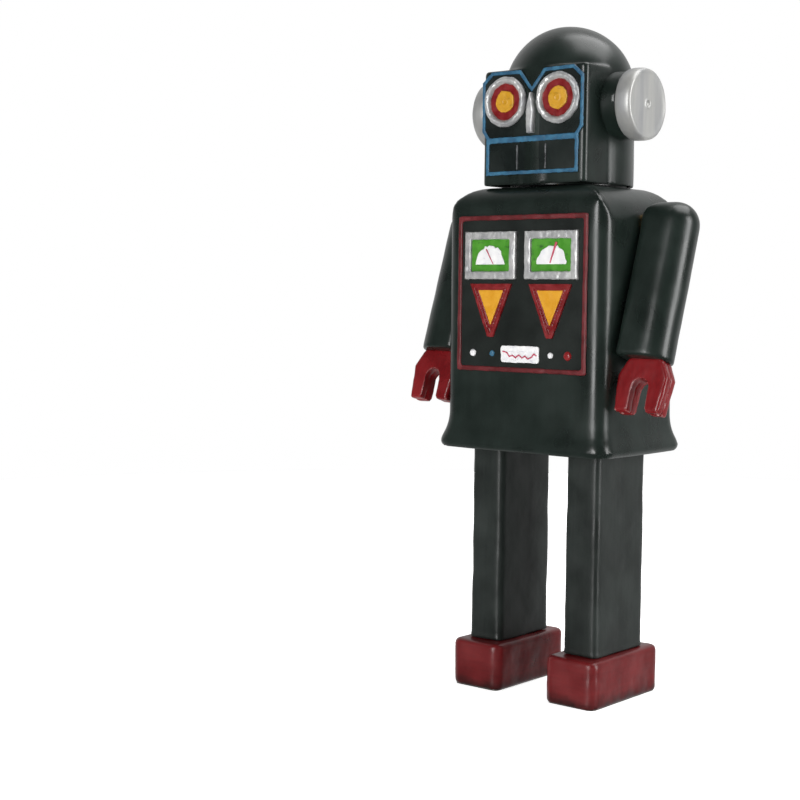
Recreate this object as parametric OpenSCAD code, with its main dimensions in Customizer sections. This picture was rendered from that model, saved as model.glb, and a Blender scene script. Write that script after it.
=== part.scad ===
// Walking tin robot with a clockwork motor. Millimetres, +Z up.
// The robot faces -Y, its left side is +X, and it stands on Z = 0 with the origin between its feet.

/* [Torso] */
// Width of the torso across the arms
torso_w = 68.6; // [66:0.2:90]
// Depth of the torso, chest to back
torso_d = 49.2; // [47:0.2:64]
// Height of the torso, underside to neck seam
torso_h = 94; // [78:1:125]
// Radius of the upright corners
torso_r = 8; // [4:0.5:14]
// Radius of the shoulders, seen from the front
shoulder_r = 14; // [8:0.5:18]
// Radius of the chest and back where they turn into the top
top_r = 9; // [5:0.5:14]
// How far the hem stands out all round
hem_out = 2.6; // [0:0.2:4]
// Height of the hem's flare
hem_h = 9; // [5:0.5:14]
// Thickness of the pressed tinplate
tin = 0.8; // [0.5:0.1:1.2]

/* [Head] */
// Height of the head above the neck seam
head_h = 57.5; // [46:0.5:72]
// Radius of the head's cylinder and dome
head_r = 23.4; // [20:0.2:26]
// How far the head's axis lies behind the torso's middle
head_back = 3.2; // [0:0.2:5]
// Half width of the flat face block
face_half_w = 22; // [20:0.2:24]
// Distance of the face block's front from the torso's middle
face_front = 19.4; // [17:0.2:21]
// Height of the mask above the neck seam, lower edge
mask_lift = 3.7; // [2:0.1:8]
// Height of the mask plate itself
mask_h = 36.6; // [30:0.2:40]
// Half width of the mask
mask_half_w = 21.6; // [19:0.2:23]
// Thickness of the mask plate
mask_t = 0.6; // [0.4:0.1:1.2]
// Radius of the ear caps
ear_r = 12.7; // [9:0.1:14]
// Thickness of the ear caps
ear_t = 6.5; // [3:0.5:8]
// Distance between the outer faces of the ears
ear_span = 68; // [62:0.5:68]
// Height of the ears' and eyes' centres above the neck seam
ear_lift = 27.8; // [22:0.2:32]

/* [Arms] */
// Width of an arm, across the figure
arm_w = 17.6; // [14:0.2:24]
// Depth of an arm, front to back
arm_d = 16.8; // [14:0.1:22]
// Height of the fingertips above the torso's lower edge
hand_lift = 14.9; // [13:0.1:24]
// Forward lean of the arms at rest, in degrees
arm_tilt = 18.8; // [0:0.1:30]
// Gap between torso and arm
arm_gap = 0.9; // [0.6:0.1:3]
// Height of a hand
hand_h = 18.5; // [14:0.5:24]
// Width of a hand
hand_w = 19.6; // [15:0.2:24]
// Depth of a hand
hand_d = 6.8; // [5:0.2:10]
// Width of the gap between the fingers
finger_gap = 6.6; // [5:0.2:9]

/* [Legs] */
// Height of the legs from the top of the feet to the torso's underside
leg_h = 71; // [50:1:95]
// Width of a leg, across the figure
leg_w = 13.9; // [10:0.1:17]
// Depth of a leg, front to back
leg_d = 31.5; // [22:0.5:38]
// Clear space between the legs
leg_gap = 27.5; // [26.5:0.1:30]
// Height of a foot
foot_h = 17; // [13:0.5:24]
// Width of a foot
foot_w = 21; // [16:0.5:25]
// Length of a foot
foot_l = 43.6; // [36:0.2:54]
// Greatest swing of a leg each way, in degrees
swing = 6; // [3:0.5:8]

/* [Clockwork] */
// Gear module
gear_m = 0.5; // [0.4:0.05:0.55]
// Teeth of the great wheel
great_teeth = 48; // [36:1:48]
// Teeth of the second wheel
second_teeth = 40; // [30:1:44]
// Teeth of both pinions
pinion_teeth = 12; // [12:1:14]
// Play between meshing teeth at the pitch circle
backlash = 0.16; // [0.08:0.02:0.3]
// Clear width between the motor plates
motor_w = 18; // [17.6:0.1:19]
// Height of the key above the torso's underside
key_lift = 24; // [20:0.5:30]

/* [Fits] */
// Radial play of turning shafts
run_gap = 0.05; // [0.02:0.01:0.1]
// Gap between moving pieces that pass each other
pass_gap = 0.3; // [0.2:0.05:0.6]

/* [Hidden] */
$fn = 64;
LEFT = 1;
RIGHT = -1;

// Heights of the seams
torso_z = foot_h + leg_h;
neck_z = torso_z + torso_h;
neck_gap = 0.5;
head_z = neck_z + neck_gap;
top_z = head_z + head_h;

// Places across the figure
leg_x = leg_gap / 2 + leg_w / 2;
arm_in = torso_w / 2 + arm_gap;
arm_x = arm_in + arm_w / 2;
hand_x = arm_in + hand_w / 2 - 0.1;
arm_edge_r = 5.5;
arm_seam_r = 1.5;

// Chest panel and what is on it
panel_w = 55.4;
panel_h = 55.2;
panel_drop = 10.3;
panel_t = 0.4;
panel_z = neck_z - panel_drop - panel_h / 2;
chest_y = -torso_d / 2;
badge_y = chest_y - panel_t;
gauge_x = 13;
gauge_w = 22.3;
gauge_h = 16.8;
gauge_glass_w = 16.8;
gauge_glass_h = 11.3;
gauge_lift = 13.5;
gauge_t = 1.2;
dial_t = 0.6;
lamp_x = 12.7;
lamp_half_w = 9;
lamp_h = 20.2;
lamp_top = 3.5;
lamp_frame_w = 2.3;
lamp_t = 0.9;
lens_t = 1.1;
row_drop = 21.2;
screen_w = 16.4;
screen_h = 5.9;
screen_t = 0.5;
light_t = 0.7;

// Face
eye_x = 11.2;
eye_z = head_z + 29.4;
eye_r = 8.9;
eye_in_r = 6.4;
lamp_r = 3.9;
eye_t = 1.9;
face_y = -face_front - mask_t;
mask_z = head_z + mask_lift;
mouth_half_w = 19.6;
mouth_h = 12;
mouth_rim = 1.4;
nose_z = head_z + 17.8;
nose_h = 14.2;
nose_w = 3.4;
nose_t = 2;
ear_z = head_z + ear_lift;
ear_y = 1.6;
boss_r = ear_r - 1;

// Shoulders and neck
shoulder_y = 4;
shoulder_z = neck_z - 14;
arm_reach = (shoulder_z - torso_z - hand_lift - hand_d / 2 * sin(arm_tilt)) / cos(arm_tilt);
arm_len = arm_reach - hand_h;
pin_r = 2.4;
pin_head_r = pin_r + 0.8;
pin_head_t = 1;
wrist_w = 10;
wrist_d = 4;
bush_r = 3.4;
bush_flange_r = 5.5;
neck_r = 8;
neck_bush_r = 9;
neck_len = 9;

// Hips and base
base_lift = 1.5;
base_top = torso_z + base_lift + tin;
hip_z = torso_z + 8;
hip_r = 1.5;
leg_top = torso_z + 14;
lever_t = 1;
lever_w = 8;
lever_x = leg_gap / 2 + tin;
slot_play = 0.6;
slot_d = leg_d + 2 * (leg_top - torso_z) * sin(swing) + 1;

// Clockwork, laid out from the great wheel against the back
pressure_angle = 25;
addendum = gear_m;
great_r = gear_m * great_teeth / 2;
great_tip = great_r + addendum;
arbor_r = 2;
train_cd = gear_m * (great_teeth + pinion_teeth) / 2;
train_lean = 32;
arbor_y = min(torso_d / 2 - tin - 0.7 - great_tip, train_cd * cos(train_lean));
arbor_z = torso_z + key_lift;
crank_y = 0;
crank_z = arbor_z + sqrt(train_cd * train_cd - (arbor_y - crank_y) * (arbor_y - crank_y));
crank_dir = atan2(crank_z - arbor_z, crank_y - arbor_y);
shaft_r = 1.25;
crank_throw = (crank_z - hip_z) * sin(swing);
crank_pin_r = 1;
crank_disc_r = crank_throw + 2.2;
governor_cd = gear_m * (second_teeth + pinion_teeth) / 2;
governor_y = crank_y;
governor_z = crank_z + governor_cd;
governor_r = 1;
vane_r = 7;
plate_t = 0.8;
plate_x = motor_w / 2;
plate_front = -12;
plate_back = min(arbor_y + great_tip, torso_d / 2 - tin - pass_gap);
plate_top = governor_z + 13;
pillar_r = 1.6;
ratchet_teeth = 12;
ratchet_r = 6.2;
ratchet_in_r = 4.8;
pillars = [
  [plate_front + 4, base_top + 4],
  [plate_back - 3.4, base_top + 4],
  [plate_back - 3.4, arbor_z + great_tip + 5],
  [plate_front + 4, plate_top - 5]
];

// Layers of the train along its shafts, counted from the middle of the motor
spring_x = -8.2;
spring_w = 6;
ratchet_x = -1.6;
ratchet_t = 1;
great_x = 0;
great_t = 1.2;
pinion_x = -0.4;
pinion_t = 2;
second_x = 3.4;
second_t = 1;
governor_pinion_x = 3;
governor_pinion_t = 1.8;
vane_x = 5.6;
vane_w = 2.6;

// Feet
sole_t = 1;
roller_r = 5;
roller_w = 5;
roller_y = -6;
roller_axle_r = 1;
foot_r = 3;

// ---- shared shapes ----

// Rectangle with true round corners, centred
module rounded_rect(w, d, r) {
  square([w - 2 * r, d], center = true);
  square([w, d - 2 * r], center = true);
  for (sx = [-1, 1], sy = [-1, 1])
    translate([sx * (w / 2 - r), sy * (d / 2 - r)]) circle(r);
}

// Rectangle standing on y = 0 with two round top corners
module tombstone(w, h, r) {
  translate([-w / 2, 0]) square([w, h - r]);
  translate([-w / 2 + r, h - r - 0.01]) square([w - 2 * r, r + 0.01]);
  for (s = [-1, 1])
    translate([s * (w / 2 - r), h - r]) circle(r);
}

// Extrudes a drawing of the Y-Z plane along X, from x on
module along_x(x, length) {
  translate([x, 0, 0]) rotate([90, 0, 90]) linear_extrude(length) children();
}

// Extrudes a drawing of the X-Z plane towards the front, from y to y - length
module to_front(y, length) {
  translate([0, y, 0]) rotate([90, 0, 0]) linear_extrude(length) children();
}

// Shows a left-hand piece on the asked side
module on_side(side) {
  mirror([side == LEFT ? 0 : 1, 0, 0]) children();
}

function involute(a) = tan(a) * 180 / PI - a;
function tooth_half(n, r, play) =
  let (base = gear_m * n / 2 * cos(pressure_angle))
  90 / n - play / (gear_m * n) * 90 / PI + involute(pressure_angle) - involute(acos(min(1, base / r)));
function flank_radii(n) =
  let (pitch = gear_m * n / 2, base = pitch * cos(pressure_angle), root = pitch - 1.2 * gear_m)
  [root, max(base, root + 0.05), pitch, pitch + addendum];

// Spur gear outline with one tooth centred on the angle given
module gear_outline(n, phase) {
  radii = flank_radii(n);
  polygon([
    for (i = [0 : n - 1], side = [-1, 1], k = [0 : 3])
      let (r = radii[side < 0 ? k : 3 - k], a = phase + i * 360 / n + side * tooth_half(n, r, backlash))
      r * [cos(a), sin(a)]
  ]);
}

// ---- torso ----

module torso_outline(inset) {
  w = torso_w - 2 * inset;
  d = torso_d - 2 * inset;
  intersection() {
    translate([0, 0, torso_z]) linear_extrude(torso_h - inset) rounded_rect(w, d, torso_r - inset);
    to_front(torso_d, 2 * torso_d)
      translate([0, torso_z]) tombstone(w, torso_h - inset, shoulder_r - inset);
    along_x(-torso_w, 2 * torso_w)
      translate([0, torso_z]) tombstone(d, torso_h - inset, top_r - inset);
  }
}

module hem_flare(inset) {
  out = 2 * (hem_out - inset);
  hull() {
    translate([0, 0, torso_z])
      linear_extrude(1) rounded_rect(torso_w + out, torso_d + out, torso_r + hem_out - inset, $fn = 32);
    translate([0, 0, torso_z + hem_h - 0.1])
      linear_extrude(0.1) rounded_rect(torso_w - 2 * inset, torso_d - 2 * inset, torso_r - inset, $fn = 32);
  }
}

module torso_shell() {
  difference() {
    union() {
      torso_outline(0);
      hem_flare(0);
    }
    torso_outline(tin);
    hem_flare(tin);
    translate([0, 0, torso_z - 1]) linear_extrude(2)
      rounded_rect(torso_w - 2 * tin, torso_d - 2 * tin, torso_r - tin);
    translate([0, head_back, neck_z - 5]) cylinder(r = neck_bush_r, h = 10);
    translate([-torso_w, shoulder_y, shoulder_z]) rotate([0, 90, 0]) cylinder(r = bush_r, h = 2 * torso_w);
    translate([-torso_w, arbor_y, arbor_z]) rotate([0, 90, 0]) cylinder(r = arbor_r + run_gap, h = torso_w);
  }
}

module half_space(front) {
  big = 3 * torso_w;
  translate([-big / 2, front ? -big : 0, 0]) cube([big, big, top_z]);
}

module torso_front_shell() {
  color("darkslategray") intersection() { torso_shell(); half_space(true); }
}

module torso_back_shell() {
  color("darkslategray") intersection() { torso_shell(); half_space(false); }
}

module base_plate() {
  color("dimgray") difference() {
    translate([0, 0, torso_z + base_lift]) linear_extrude(tin)
      rounded_rect(torso_w - 2 * tin, torso_d - 2 * tin, torso_r - tin);
    for (s = [-1, 1])
      translate([s * leg_x - leg_w / 2 - slot_play, -slot_d / 2, torso_z])
        cube([leg_w + 2 * slot_play, slot_d, 10]);
  }
}

module neck_bush() {
  color("silver") translate([0, head_back, 0]) difference() {
    union() {
      translate([0, 0, neck_z - neck_len]) cylinder(r = neck_bush_r, h = neck_len);
      translate([0, 0, neck_z - tin - 1]) cylinder(r = neck_bush_r + 3, h = 1);
    }
    translate([0, 0, neck_z - neck_len - 1]) cylinder(r = neck_r + run_gap, h = neck_len + 2);
  }
}

module shoulder_bushes() {
  color("silver") for (s = [LEFT, RIGHT]) on_side(s)
    translate([0, shoulder_y, shoulder_z]) rotate([0, 90, 0]) difference() {
      union() {
        translate([0, 0, torso_w / 2 - tin - 2]) cylinder(r = bush_r, h = tin + 2 + arm_gap - pass_gap);
        translate([0, 0, torso_w / 2]) cylinder(r = bush_flange_r, h = arm_gap - pass_gap);
      }
      translate([0, 0, torso_w / 2 - tin - 3]) cylinder(r = pin_r + run_gap, h = tin + arm_gap + 6);
    }
}

// ---- chest ----

module chest_panel() {
  color("firebrick") to_front(chest_y, panel_t) translate([0, panel_z]) rounded_rect(panel_w, panel_h, 1);
}

module gauge_bezel(side) {
  color("lightgray") to_front(badge_y, gauge_t) translate([side * gauge_x, panel_z + gauge_lift]) difference() {
    rounded_rect(gauge_w, gauge_h, 1.2);
    rounded_rect(gauge_glass_w, gauge_glass_h, 0.8);
  }
}

module gauge_dials() {
  color("yellowgreen") for (s = [LEFT, RIGHT])
    to_front(badge_y, dial_t) translate([s * gauge_x, panel_z + gauge_lift])
      rounded_rect(gauge_glass_w, gauge_glass_h, 0.8);
}

// Triangle with its point down, drawn smaller all round by the rim
module lamp_outline(rim) {
  slant = atan2(lamp_h, lamp_half_w);
  half = lamp_half_w - rim / tan(slant / 2);
  depth = half * lamp_h / lamp_half_w;
  polygon([[-half, -rim], [half, -rim], [0, -rim - depth]]);
}

module lamp_frame(side) {
  color("firebrick") to_front(badge_y, lamp_t) translate([side * lamp_x, panel_z + lamp_top]) difference() {
    lamp_outline(0);
    lamp_outline(lamp_frame_w);
  }
}

module lamp_lenses() {
  color("gold") for (s = [LEFT, RIGHT])
    to_front(badge_y, lens_t) translate([s * lamp_x, panel_z + lamp_top]) lamp_outline(lamp_frame_w);
}

module trace_screen() {
  color("white") to_front(badge_y, screen_t) translate([0.2, panel_z - row_drop]) rounded_rect(screen_w, screen_h, 0.8);
}

module indicator(x, r) {
  to_front(badge_y, light_t) translate([x, panel_z - row_drop]) circle(r);
}

module indicator_white() {
  color("white") { indicator(-20.6, 1.3); indicator(13.1, 1.1); }
}

module indicator_blue() {
  color("steelblue") indicator(-12, 1.1);
}

module indicator_red() {
  color("firebrick") indicator(20.2, 1.6);
}

// ---- head ----

module head_outline(inset) {
  r = head_r - inset;
  dome_z = top_z - head_r;
  translate([0, head_back, head_z]) cylinder(r = r, h = dome_z - head_z);
  translate([0, head_back, dome_z]) sphere(r);
  translate([0, 0, head_z]) linear_extrude(mask_lift + mask_h + 0.6 - inset)
    translate([0, (head_back - face_front + inset) / 2])
      rounded_rect(2 * (face_half_w - inset), head_back + face_front - inset, 2 - inset);
}

module head_shell() {
  color("darkslategray") difference() {
    head_outline(0);
    intersection() {
      head_outline(tin);
      translate([-head_r, -face_front + tin, head_z - 1]) cube([2 * head_r, 4 * head_r, 2 * head_h]);
    }
    translate([0, 0, head_z - 1]) linear_extrude(1 + tin) translate([0, (head_back - face_front) / 2])
      rounded_rect(2 * (face_half_w - tin), head_back + face_front - 2 * tin, 2 - tin);
    translate([0, head_back, head_z - 1]) cylinder(r = head_r - tin, h = 1 + tin);
    // the front of the dome is pressed flat behind the mask
    translate([-head_r, -face_front - 10, head_z - 1]) cube([2 * head_r, 10, mask_lift + mask_h + 1]);
  }
}

// Upper corners cut off, a notch over the nose, narrower round the mouth
module mask_outline() {
  h = mask_h;
  right = [
    [5, h], [mask_half_w - 4, h], [mask_half_w, h - 4], [mask_half_w, mouth_h + 3.4],
    [mouth_half_w, mouth_h], [mouth_half_w, 0]
  ];
  left = [for (i = [len(right) - 1 : -1 : 0]) [-right[i][0], right[i][1]]];
  polygon(concat([[0, h - 6.2]], right, left));
}

module face_mask() {
  color("steelblue") to_front(-face_front, mask_t) difference() {
    translate([0, mask_z]) mask_outline();
    translate([-mouth_half_w + mouth_rim, mask_z + mouth_rim])
      square([2 * (mouth_half_w - mouth_rim), mouth_h - 2 * mouth_rim]);
  }
}

module mouth_grille() {
  bar = 1.2;
  panel = (2 * (mouth_half_w - mouth_rim) - 2 * bar) / 3;
  color("black") to_front(-face_front, mask_t / 2) translate([0, mask_z + mouth_rim])
    translate([-mouth_half_w + mouth_rim, 0]) square([2 * (mouth_half_w - mouth_rim), mouth_h - 2 * mouth_rim]);
  color("black") for (i = [0 : 2])
    to_front(-face_front - mask_t / 2, mask_t)
      translate([-mouth_half_w + mouth_rim + i * (panel + bar), mask_z + mouth_rim])
        square([panel, mouth_h - 2 * mouth_rim]);
}

// A dished ring standing on the mask
module eye_ring(side) {
  color("silver") translate([side * eye_x, face_y, eye_z]) rotate([90, 0, 0]) rotate_extrude()
    polygon([[eye_in_r, 0], [eye_r, 0], [eye_r - 0.3, eye_t - 0.6], [eye_r - 1.1, eye_t], [eye_in_r, eye_t - 1]]);
}

module eye_reflectors() {
  color("firebrick") for (s = [LEFT, RIGHT])
    translate([s * eye_x, face_y, eye_z]) rotate([90, 0, 0]) difference() {
      cylinder(r = eye_in_r, h = 0.7);
      translate([0, 0, -1]) cylinder(r = lamp_r, h = 3);
    }
}

module eye_lamps() {
  color("gold") for (s = [LEFT, RIGHT])
    translate([s * eye_x, face_y, eye_z]) rotate([90, 0, 0]) {
      cylinder(r = lamp_r, h = 0.8);
      translate([0, 0, 0.8]) cylinder(r1 = lamp_r, r2 = lamp_r / 2, h = 0.5);
    }
}

module nose() {
  color("silver") translate([0, face_y, nose_z]) rotate([90, 0, 0]) intersection() {
    linear_extrude(nose_t) polygon([
      [-nose_w / 2, 0], [nose_w / 2, 0], [nose_w / 2, nose_h * 0.6], [0.3, nose_h], [-0.3, nose_h],
      [-nose_w / 2, nose_h * 0.6]
    ]);
    rotate([-90, 0, 0]) translate([0, 0, -1]) linear_extrude(nose_h + 2)
      polygon([[-nose_w / 2, 0], [nose_w / 2, 0], [0, -nose_t]]);
  }
}

module ear_bosses() {
  start = sqrt(head_r * head_r - boss_r * boss_r) - tin;
  color("darkslategray") for (s = [LEFT, RIGHT]) on_side(s) difference() {
    translate([start, ear_y, ear_z]) rotate([0, 90, 0])
      cylinder(r = boss_r, h = ear_span / 2 - ear_t - start);
    head_outline(0);
  }
}

module ear_cap(side) {
  rim = 1;
  color("silver") on_side(side) translate([ear_span / 2 - ear_t, ear_y, ear_z]) rotate([90, 0, 90]) rotate_extrude()
    polygon([
      [0, 0], [ear_r - rim, 0], [ear_r, rim], [ear_r, ear_t - rim], [ear_r - rim, ear_t - 0.4],
      [2, ear_t - 0.4], [1.6, ear_t], [0, ear_t]
    ]);
}

module neck_tube() {
  color("silver") translate([0, head_back, 0]) difference() {
    union() {
      translate([0, 0, head_z]) cylinder(r = face_front + head_back - 2 * tin, h = tin);
      translate([0, 0, neck_z - neck_len - 1.5]) cylinder(r = neck_r, h = neck_len + 1.5 + neck_gap);
      translate([0, 0, neck_z - neck_len - 1.5]) cylinder(r = neck_bush_r + 0.5, h = 1.5 - pass_gap);
    }
    translate([0, 0, neck_z - neck_len - 2]) cylinder(r = neck_r - tin, h = neck_len + 4);
  }
}

// Section of an arm: flat with crisp edges towards the torso, well rounded outside
module arm_section(w, d, inset) {
  rounded_rect(w, d, arm_edge_r - inset);
  intersection() {
    rounded_rect(w, d, arm_seam_r - inset);
    translate([-w / 2, -d / 2]) square([w / 2, d]);
  }
}

// ---- arms, drawn hanging straight down from the pivot and then leant forward ----

module place_arm(side) {
  on_side(side) translate([0, shoulder_y, shoulder_z]) rotate([-arm_tilt, 0, 0]) children();
}

module arm_outline(inset) {
  w = arm_w - 2 * inset;
  d = arm_d - 2 * inset;
  cap = d / 2;
  low = -arm_len + inset;
  intersection() {
    translate([arm_x, 0, low]) linear_extrude(arm_len + arm_d) arm_section(w, d, inset);
    along_x(0, 2 * arm_x) translate([0, low]) tombstone(d, arm_len - inset + cap, cap - 0.01);
    to_front(arm_d, 2 * arm_d) translate([arm_x, low]) tombstone(w, arm_len - inset + cap, 7 - inset);
  }
}

module arm_body() {
  difference() {
    arm_outline(0);
    arm_outline(tin);
    translate([arm_x - wrist_w / 2, -wrist_d / 2, -arm_len - 1]) cube([wrist_w, wrist_d, 3]);
    rotate([0, 90, 0]) cylinder(r = pin_r, h = arm_in + 3);
    // seat for the pin's head where the rounded wall starts
    rotate([0, 90, 0]) translate([0, 0, arm_in + tin])
      cylinder(r = pin_head_r + run_gap, h = pin_head_t + run_gap);
  }
}

module arm_shell(side) {
  color("darkslategray") place_arm(side) intersection() {
    arm_body();
    translate([arm_in + tin, -arm_d, -2 * arm_len]) cube([arm_w, 2 * arm_d, 3 * arm_len]);
  }
}

module arm_cover(side) {
  color("darkslategray") place_arm(side) intersection() {
    arm_body();
    translate([arm_in, -arm_d, -2 * arm_len]) cube([tin, 2 * arm_d, 3 * arm_len]);
  }
}

module hand(side) {
  chamfer = 4;
  slot_top = hand_h - 6;
  color("firebrick") place_arm(side) translate([0, 0, -arm_len]) {
    translate([0, hand_d / 2, 0]) to_front(0, hand_d) translate([hand_x, -hand_h]) difference() {
      polygon([
        [-hand_w / 2 + 1, 0], [hand_w / 2 - 1, 0], [hand_w / 2, 1], [hand_w / 2, hand_h - chamfer - 2],
        [hand_w / 2 - chamfer, hand_h], [-hand_w / 2 + chamfer, hand_h],
        [-hand_w / 2, hand_h - chamfer - 2], [-hand_w / 2, 1]
      ]);
      translate([-finger_gap / 2, -1]) square([finger_gap, slot_top - finger_gap / 2 + 1]);
      translate([0, slot_top - finger_gap / 2]) circle(finger_gap / 2);
    }
    translate([arm_x - wrist_w / 2, -wrist_d / 2, -0.5]) cube([wrist_w, wrist_d, 5]);
  }
}

module shoulder_pin(side) {
  inner = torso_w / 2 - tin - 2 - pass_gap;
  color("silver") place_arm(side) rotate([0, 90, 0]) {
    translate([0, 0, inner]) cylinder(r = pin_r, h = arm_in + tin - inner);
    translate([0, 0, inner - pin_head_t]) cylinder(r = pin_r + 1.6, h = pin_head_t);
    translate([0, 0, arm_in + tin]) cylinder(r = pin_head_r, h = pin_head_t);
  }
}

// ---- legs ----

module leg_shell(side) {
  inner_r = 3 - tin;
  color("darkslategray") on_side(side) difference() {
    translate([leg_x, 0, foot_h]) linear_extrude(leg_top - foot_h) rounded_rect(leg_w, leg_d, 3);
    translate([leg_x, 0, foot_h + tin]) linear_extrude(leg_top - foot_h)
      rounded_rect(leg_w - 2 * tin, leg_d - 2 * tin, inner_r);
    translate([0, 0, hip_z]) rotate([0, 90, 0]) cylinder(r = hip_r + run_gap, h = torso_w);
  }
}

// Strap inside the leg's inner wall: the hip turns on it and the crank pin drives its upright slot
module leg_lever(side) {
  low = hip_z - 40;
  reach = crank_throw + crank_pin_r + 0.6;
  slot_half = crank_pin_r + 0.1;
  color("gray") on_side(side) along_x(lever_x, lever_t) difference() {
    union() {
      translate([-lever_w / 2, low]) square([lever_w, crank_z - low]);
      translate([-lever_w / 2, crank_z]) square([lever_w, reach + 1]);
      translate([0, crank_z + reach + 1]) circle(lever_w / 2);
    }
    translate([0, hip_z]) circle(hip_r + run_gap);
    translate([-slot_half, crank_z - reach]) square([2 * slot_half, 2 * reach]);
    for (s = [-1, 1]) translate([0, crank_z + s * reach]) circle(slot_half);
  }
}

module foot_shell(side) {
  color("firebrick") on_side(side) translate([leg_x, 0, 0]) difference() {
    linear_extrude(foot_h) rounded_rect(foot_w, foot_l, foot_r);
    translate([0, 0, -1]) linear_extrude(foot_h + 1 - tin)
      rounded_rect(foot_w - 2 * tin, foot_l - 2 * tin, foot_r - tin);
  }
}

// Sole with two cheeks that carry the roller's axle
module sole_plate(side) {
  cheek_in = roller_w / 2 + pass_gap;
  color("dimgray") on_side(side) translate([leg_x, 0, 0]) difference() {
    union() {
      linear_extrude(sole_t) rounded_rect(foot_w - 2 * tin, foot_l - 2 * tin, foot_r - tin);
      for (s = [-1, 1]) translate([s > 0 ? cheek_in : -cheek_in - 1, roller_y - 3, 0])
        cube([1, 6, roller_r + 3]);
    }
    translate([-cheek_in, roller_y - roller_r - pass_gap, -1])
      cube([2 * cheek_in, 2 * (roller_r + pass_gap), sole_t + 1.5]);
    translate([-foot_w / 2, roller_y, roller_r]) rotate([0, 90, 0])
      cylinder(r = roller_axle_r + run_gap, h = foot_w);
  }
}

module foot_roller(side) {
  axle = roller_w + 2 * pass_gap + 3;
  color("black") on_side(side) translate([leg_x, roller_y, roller_r]) rotate([0, 90, 0]) {
    cylinder(r = roller_r, h = roller_w, center = true);
    cylinder(r = roller_axle_r, h = axle, center = true);
  }
}

module hip_axle() {
  out = leg_x + leg_w / 2 + pass_gap;
  color("silver") translate([0, 0, hip_z]) rotate([0, 90, 0]) {
    cylinder(r = hip_r, h = 2 * out, center = true);
    for (s = [-1, 1]) translate([0, 0, s * (out + 0.5)]) cylinder(r = hip_r + 1, h = 1, center = true);
  }
}

// ---- clockwork ----

module motor_plate(side) {
  step_z = pillars[2][1] + 4;
  narrow = governor_y + 9;
  color("goldenrod") along_x(side == LEFT ? plate_x : -plate_x - plate_t, plate_t) difference() {
    polygon([
      [plate_front, base_top], [plate_back, base_top], [plate_back, step_z], [narrow, step_z + 6],
      [narrow, plate_top], [plate_front, plate_top]
    ]);
    translate([0, hip_z]) circle(hip_r);
    translate([arbor_y, arbor_z]) circle(arbor_r + run_gap);
    translate([crank_y, crank_z]) circle(shaft_r + run_gap);
    translate([governor_y, governor_z]) circle(governor_r + run_gap);
    for (p = pillars) translate(p) circle(pillar_r - 0.5);
  }
}

module motor_pillars() {
  color("silver") for (p = pillars) {
    along_x(-plate_x, motor_w) translate(p) circle(pillar_r);
    along_x(-plate_x - plate_t - 0.4, motor_w + 2 * plate_t + 0.8) translate(p) circle(pillar_r - 0.5);
  }
}

// Spiral strip round the arbor; its outer end is hooked to the lower back pillar
module mainspring() {
  turns = 6;
  steps = 20;
  thick = 0.4;
  first_r = arbor_r + 1;
  last_r = great_tip - 1;
  pitch = (last_r - first_r) / turns;
  function arm(i) = first_r + pitch * i / steps;
  color("lightsteelblue") along_x(spring_x, spring_w) translate([arbor_y, arbor_z]) polygon(concat(
    [for (i = [0 : turns * steps]) arm(i) * [cos(360 * i / steps), sin(360 * i / steps)]],
    [for (i = [turns * steps : -1 : 0]) (arm(i) + thick) * [cos(360 * i / steps), sin(360 * i / steps)]]
  ));
}

module ratchet_outline() {
  polygon([
    for (i = [0 : ratchet_teeth - 1], k = [0, 1])
      let (a = (i + k * 0.08) * 360 / ratchet_teeth)
      (k == 0 ? ratchet_in_r : ratchet_r) * [cos(a), sin(a)]
  ]);
}

module key_arbor() {
  tail = torso_w / 2 + 6;
  color("silver") {
    along_x(-tail, tail + plate_x + plate_t + 1) translate([arbor_y, arbor_z]) circle(arbor_r);
    along_x(ratchet_x, ratchet_t) translate([arbor_y, arbor_z]) ratchet_outline();
  }
}

module winding_key() {
  start = torso_w / 2 + 1.2;
  lobe_x = start + 11;
  lobe_r = 5.2;
  lobe_up = 5.4;
  plate = 1.4;
  color("silver") on_side(RIGHT) translate([0, arbor_y, arbor_z]) difference() {
    union() {
      translate([start, 0, 0]) rotate([0, 90, 0]) cylinder(r = 3.2, h = 9);
      for (s = [-1, 1]) translate([lobe_x, plate / 2, s * lobe_up]) rotate([90, 0, 0])
        cylinder(r = lobe_r, h = plate);
      translate([start + 6, -plate / 2, -4]) cube([9, plate, 8]);
    }
    translate([start - 1, 0, 0]) rotate([0, 90, 0]) cylinder(r = arbor_r, h = torso_w / 2 + 6 - start + 1);
    for (s = [-1, 1]) translate([lobe_x, plate, s * lobe_up]) rotate([90, 0, 0])
      cylinder(r = 2.2, h = 2 * plate);
  }
}

module great_wheel() {
  color("gold") along_x(great_x, great_t) translate([arbor_y, arbor_z]) difference() {
    gear_outline(great_teeth, crank_dir);
    circle(arbor_r + run_gap);
  }
}

// Pawl on the great wheel, its tip resting between two ratchet teeth
module click() {
  pivot = [0, -(ratchet_r + 3)];
  tip_a = -60;
  tip = (ratchet_r + 0.3) * [cos(tip_a), sin(tip_a)];
  color("gray") along_x(ratchet_x, great_x - ratchet_x) translate([arbor_y, arbor_z]) {
    translate(pivot) circle(1.3);
    polygon([pivot + [-0.9, 0.2], pivot + [0.4, -1.2], tip + [0.9, -0.9], tip + [0.5, -0.05]]);
  }
}

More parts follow.
